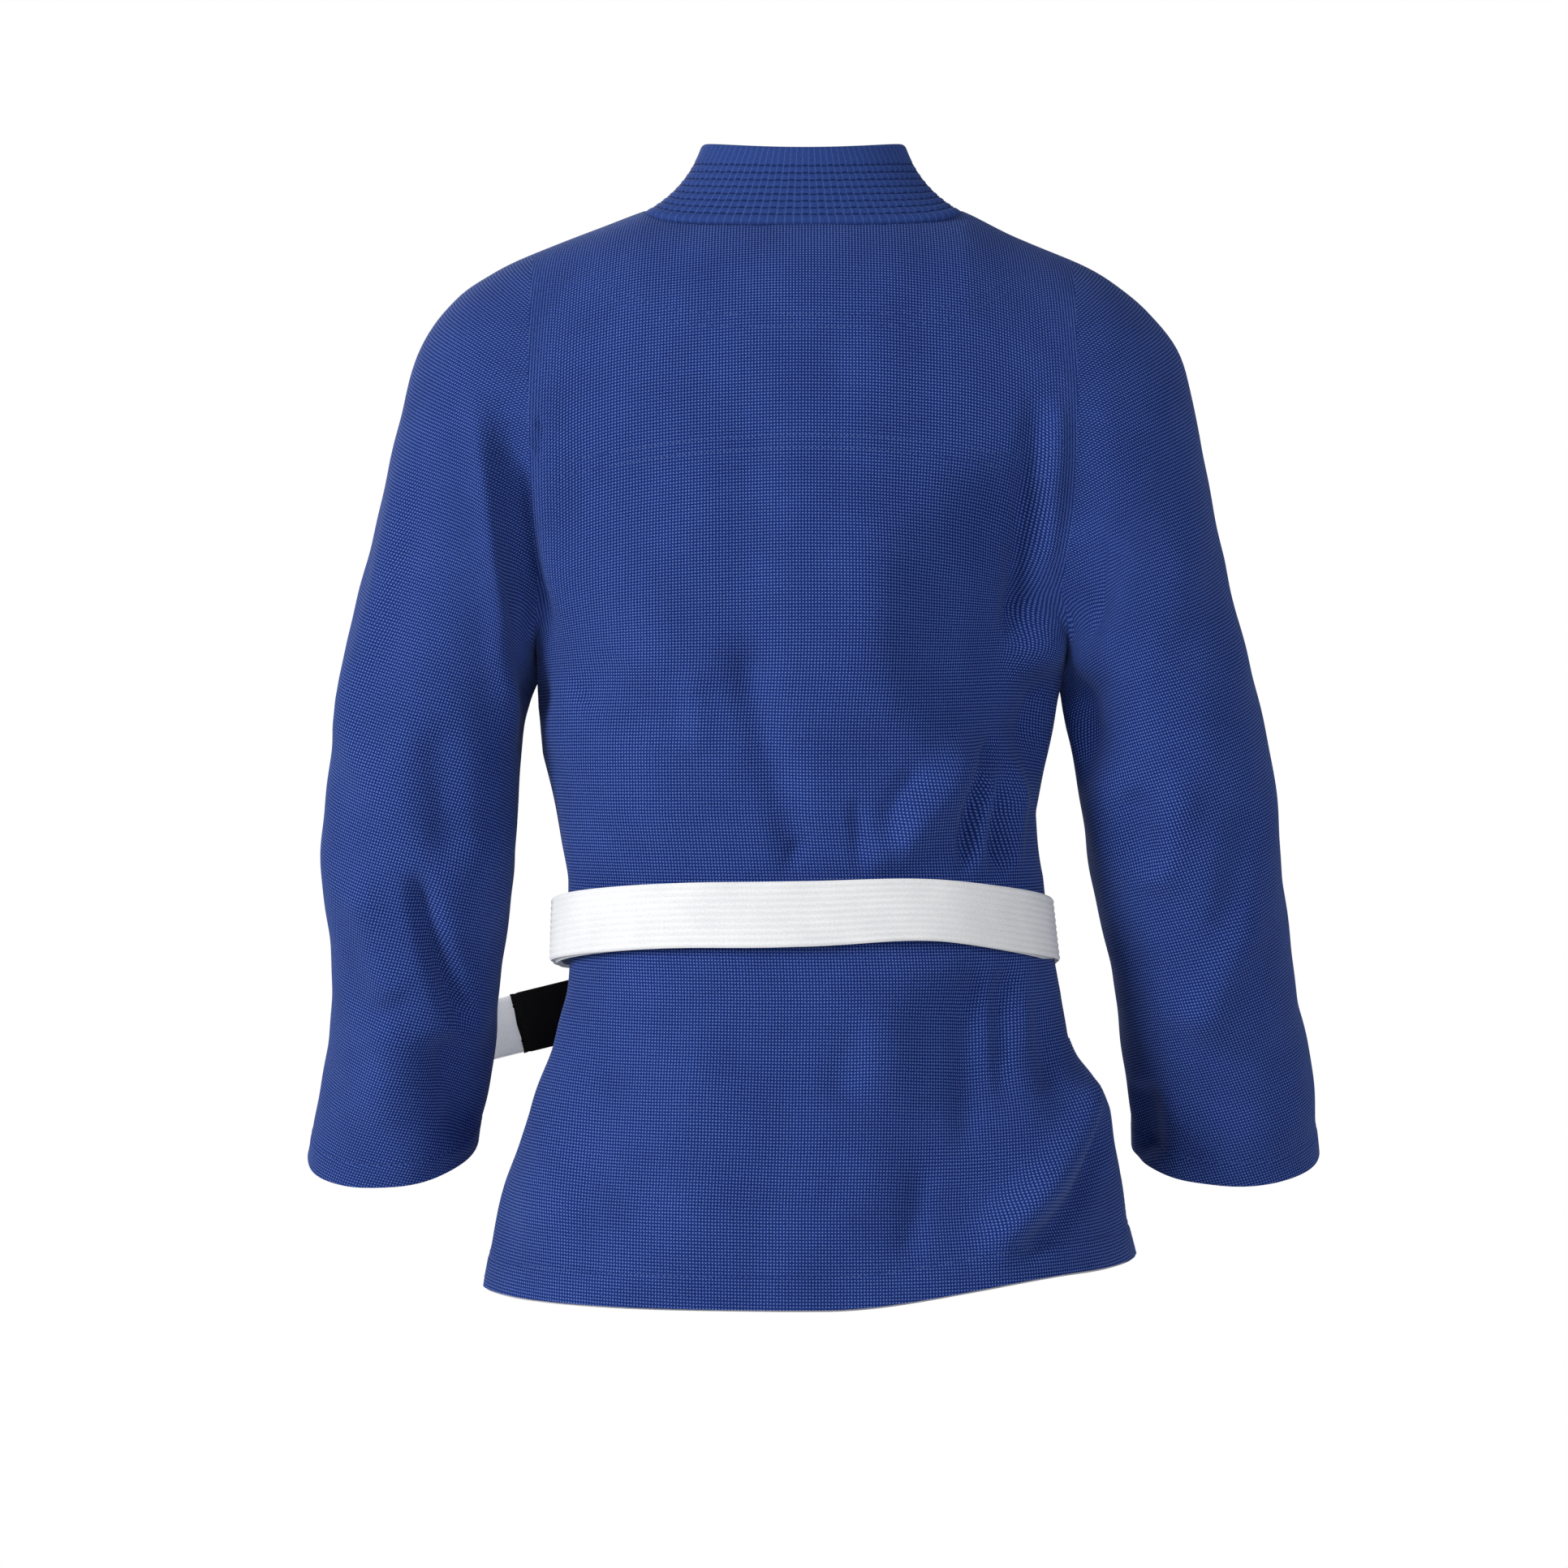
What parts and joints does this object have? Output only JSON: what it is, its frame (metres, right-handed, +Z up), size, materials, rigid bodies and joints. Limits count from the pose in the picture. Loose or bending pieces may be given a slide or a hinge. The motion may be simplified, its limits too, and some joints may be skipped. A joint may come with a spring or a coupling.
{
  "type": "martial arts uniform jacket",
  "caption": "Belted grappling jacket of heavy blue cotton with stitched collar, side vents, two sleeves and a white belt with a black rank bar.",
  "frame": {"origin": "on the shoulder line midway between the shoulders, where the wearer or a hanger carries the jacket", "axes": "+Z up, the wearer faces -Y, the wearer's left is +X"},
  "size_m": [0.694, 0.3834, 0.7723],
  "materials": {
    "pearl_weave": "matte woven cotton",
    "collar_ripstop": "matte ribbed cotton",
    "belt_cotton": "matte stitched cotton",
    "rank_bar_cloth": "matte cotton",
    "cotton_tape": "matte cotton tape",
    "collar_foam": "matte foam"
  },
  "bodies": {
    "jacket": {"back_panel": "pearl_weave", "left_front_panel": "pearl_weave", "right_front_panel": "pearl_weave", "shoulder_yoke": "pearl_weave", "left_sleeve_cap": "pearl_weave", "right_sleeve_cap": "pearl_weave", "left_armpit_gusset": "pearl_weave", "right_armpit_gusset": "pearl_weave", "left_side_tape": "pearl_weave", "right_side_tape": "pearl_weave", "left_vent_patch": "pearl_weave", "right_vent_patch": "pearl_weave", "collar_cover": "collar_ripstop", "collar_core": "collar_foam", "belt_inner_wrap": "belt_cotton", "belt_outer_wrap": "belt_cotton", "belt_knot": "belt_cotton"},
    "left_lower_sleeve": {"left_sleeve": "pearl_weave", "left_cuff_tape": "cotton_tape"},
    "right_lower_sleeve": {"right_sleeve": "pearl_weave", "right_cuff_tape": "cotton_tape"},
    "back_skirt_flap": {"back_skirt": "pearl_weave", "back_hem_tape": "cotton_tape", "back_left_vent_tape": "cotton_tape", "back_right_vent_tape": "cotton_tape"},
    "front_skirt_flaps": {"left_front_skirt": "pearl_weave", "left_front_hem_tape": "cotton_tape", "left_front_vent_tape": "cotton_tape", "left_lapel_end": "collar_ripstop", "right_front_skirt": "pearl_weave", "right_front_hem_tape": "cotton_tape", "right_front_vent_tape": "cotton_tape", "right_lapel_end": "collar_ripstop"},
    "left_tail": {"left_belt_tail": "belt_cotton", "rank_bar": "rank_bar_cloth"},
    "right_tail": {"right_belt_tail": "belt_cotton"}
  },
  "joints": [
    {"name": "left_sleeve_lift", "type": "hinge", "parent": "jacket", "child": "left_lower_sleeve", "pos_m": [0.3115, 0, -0.3235], "axis": [0, -1, 0], "range_deg": [0, 40]},
    {"name": "right_sleeve_lift", "type": "hinge", "parent": "jacket", "child": "right_lower_sleeve", "pos_m": [-0.3115, 0, -0.3235], "axis": [0, 1, 0], "range_deg": [0, 40]},
    {"name": "back_skirt_swing", "type": "hinge", "parent": "jacket", "child": "back_skirt_flap", "pos_m": [0, 0.12, -0.553], "axis": [1, 0, 0], "range_deg": [0, 25]},
    {"name": "front_skirt_swing", "type": "hinge", "parent": "jacket", "child": "front_skirt_flaps", "pos_m": [0, -0.1248, -0.553], "axis": [-1, 0, 0], "range_deg": [0, 15]},
    {"name": "left_tail_swing", "type": "hinge", "parent": "jacket", "child": "left_tail", "pos_m": [0, -0.15755, -0.505], "axis": [0, -1, 0], "range_deg": [-30, 40]},
    {"name": "right_tail_swing", "type": "hinge", "parent": "jacket", "child": "right_tail", "pos_m": [0, -0.16305, -0.505], "axis": [0, 1, 0], "range_deg": [-30, 40]}
  ]
}
